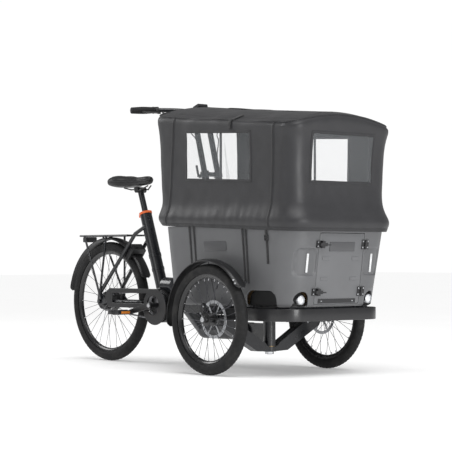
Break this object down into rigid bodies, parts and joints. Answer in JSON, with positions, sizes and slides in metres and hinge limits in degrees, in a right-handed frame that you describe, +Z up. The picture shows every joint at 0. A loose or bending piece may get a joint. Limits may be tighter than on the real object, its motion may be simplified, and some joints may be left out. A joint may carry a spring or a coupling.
{
  "type": "cargo bicycle",
  "caption": "Three-wheeled cargo bicycle with a steering front carrier that holds a hooded passenger and goods box, a front door, and a motor-assisted rear frame.",
  "frame": {"origin": "on the ground, midway along and across the bicycle", "axes": "+X points forward, +Y to the rider's left, +Z up"},
  "size_m": [2.1308, 0.8496, 1.3229],
  "materials": {
    "frame_paint": "satin black",
    "fender_plastic": "satin",
    "tyre_rubber": "matt",
    "rim_black": "satin",
    "spoke_steel": "black stainless",
    "hub_black": "satin",
    "steel": "brushed",
    "bronze": "machined",
    "black_plastic": "matt",
    "chain_steel": "oiled",
    "lamp_red": "gloss",
    "lamp_white": "gloss",
    "orange": "satin orange",
    "saddle_cover": "matt synthetic",
    "box_grey": "fine moulded grain",
    "bumper_grey": "satin graphite",
    "hood_cloth": "coated cloth",
    "window_film": "clear film",
    "hoop_aluminium": "anodised",
    "webbing": "woven",
    "bench_cloth": "woven",
    "column_paint": "satin graphite",
    "grip_rubber": "matt",
    "caliper_black": "satin"
  },
  "bodies": {
    "rear_frame": {"main_frame": "frame_paint", "rear_triangle": "frame_paint", "steering_bushes": "bronze", "motor": "black_plastic", "chain_guard": "fender_plastic", "chain": "chain_steel", "rear_fender": "fender_plastic", "rack": "frame_paint", "rear_light": "lamp_red", "ring_lock": "black_plastic", "seat_collar": "orange"},
    "seat": {"seatpost": "frame_paint", "saddle": "saddle_cover", "saddle_rails": "spoke_steel"},
    "collar_lever": {"collar_lever": "orange"},
    "crankset": {"cranks": "hub_black", "chainring": "chain_steel"},
    "pedal_right": {"pedal_right": "black_plastic"},
    "pedal_left": {"pedal_left": "black_plastic"},
    "rear_wheel": {"rear_tyre": "tyre_rubber", "rear_rim": "rim_black", "rear_spokes": "spoke_steel", "rear_hub": "hub_black"},
    "front_carrier": {"axle_beam": "frame_paint", "chassis_frame": "frame_paint", "axle_pins": "steel", "bumper": "bumper_grey", "box_shell": "box_grey", "recess_panels": "black_plastic", "lamps": "lamp_white", "hood": "hood_cloth", "windows": "window_film", "hood_bows": "hoop_aluminium", "straps": "webbing", "bench": "bench_cloth", "column": "column_paint", "front_fenders": "fender_plastic", "calipers": "caliper_black", "door_frame_fittings": "black_plastic"},
    "column_lever": {"column_lever": "black_plastic"},
    "handlebar": {"handlebar": "frame_paint", "grips": "grip_rubber", "bar_controls": "black_plastic", "cables": "grip_rubber"},
    "brake_lever_right": {"brake_lever_right": "caliper_black"},
    "brake_lever_left": {"brake_lever_left": "caliper_black"},
    "front_door": {"front_door": "box_grey", "door_fittings": "black_plastic"},
    "latch_upper": {"latch_upper": "black_plastic"},
    "latch_lower": {"latch_lower": "black_plastic"},
    "front_wheel_right": {"front_tyre_right": "tyre_rubber", "front_rim_right": "rim_black", "front_spokes_right": "spoke_steel", "front_hub_right": "hub_black", "front_rotor_right": "steel"},
    "front_wheel_left": {"front_tyre_left": "tyre_rubber", "front_rim_left": "rim_black", "front_spokes_left": "spoke_steel", "front_hub_left": "hub_black", "front_rotor_left": "steel"}
  },
  "joints": [
    {"name": "steering", "type": "hinge", "parent": "rear_frame", "child": "front_carrier", "pos_m": [0.538, 0, 0.2], "axis": [0, 0, 1], "range_deg": [-40, 40]},
    {"name": "front_wheel_right_spin", "type": "hinge", "parent": "front_carrier", "child": "front_wheel_right", "pos_m": [0.538, -0.3805, 0.26], "axis": [0, 1, 0], "continuous": true},
    {"name": "front_wheel_left_spin", "type": "hinge", "parent": "front_carrier", "child": "front_wheel_left", "pos_m": [0.538, 0.3805, 0.26], "axis": [0, 1, 0], "continuous": true},
    {"name": "rear_wheel_spin", "type": "hinge", "parent": "rear_frame", "child": "rear_wheel", "pos_m": [-0.72, 0, 0.3175], "axis": [0, 1, 0], "continuous": true},
    {"name": "crank_spin", "type": "hinge", "parent": "rear_frame", "child": "crankset", "pos_m": [-0.258, 0, 0.305], "axis": [0, 1, 0], "continuous": true},
    {"name": "pedal_right_spin", "type": "hinge", "parent": "crankset", "child": "pedal_right", "pos_m": [-0.41877, -0.168, 0.26788], "axis": [0, 1, 0], "continuous": true},
    {"name": "pedal_left_spin", "type": "hinge", "parent": "crankset", "child": "pedal_left", "pos_m": [-0.09723, 0.168, 0.34212], "axis": [0, 1, 0], "continuous": true},
    {"name": "seat_height", "type": "slide", "parent": "rear_frame", "child": "seat", "axis": [-0.3368, 0, 0.9416], "range_m": [-0.06, 0.08]},
    {"name": "collar_lever_turn", "type": "hinge", "parent": "rear_frame", "child": "collar_lever", "pos_m": [-0.45655, 0, 0.76085], "axis": [-0.3368, 0, 0.9416], "range_deg": [0, 120]},
    {"name": "bar_height", "type": "slide", "parent": "front_carrier", "child": "handlebar", "axis": [-0.27, 0, 0.9629], "range_m": [-0.05, 0.08]},
    {"name": "column_lever_turn", "type": "hinge", "parent": "front_carrier", "child": "column_lever", "pos_m": [0.08289, -0.043, 0.95642], "axis": [0, -1, 0], "range_deg": [0, 150]},
    {"name": "brake_lever_right_pull", "type": "hinge", "parent": "handlebar", "child": "brake_lever_right", "pos_m": [-0.03607, -0.21624, 1.27251], "axis": [0, 0, 1], "range_deg": [-15, 0], "stiffness_Nm_per_rad": 0.8},
    {"name": "brake_lever_left_pull", "type": "hinge", "parent": "handlebar", "child": "brake_lever_left", "pos_m": [-0.03607, 0.21624, 1.27251], "axis": [0, 0, 1], "range_deg": [0, 15], "stiffness_Nm_per_rad": 0.8},
    {"name": "door_swing", "type": "hinge", "parent": "front_carrier", "child": "front_door", "pos_m": [1.02484, 0.15, 0.49914], "axis": [0.144, 0, 0.9896], "range_deg": [0, 105]},
    {"name": "latch_upper_turn", "type": "hinge", "parent": "front_door", "child": "latch_upper", "pos_m": [1.04876, -0.138, 0.60798], "axis": [0.144, 0, 0.9896], "range_deg": [-95, 0]},
    {"name": "latch_lower_turn", "type": "hinge", "parent": "front_door", "child": "latch_lower", "pos_m": [1.01704, -0.138, 0.38998], "axis": [0.144, 0, 0.9896], "range_deg": [-95, 0]}
  ]
}
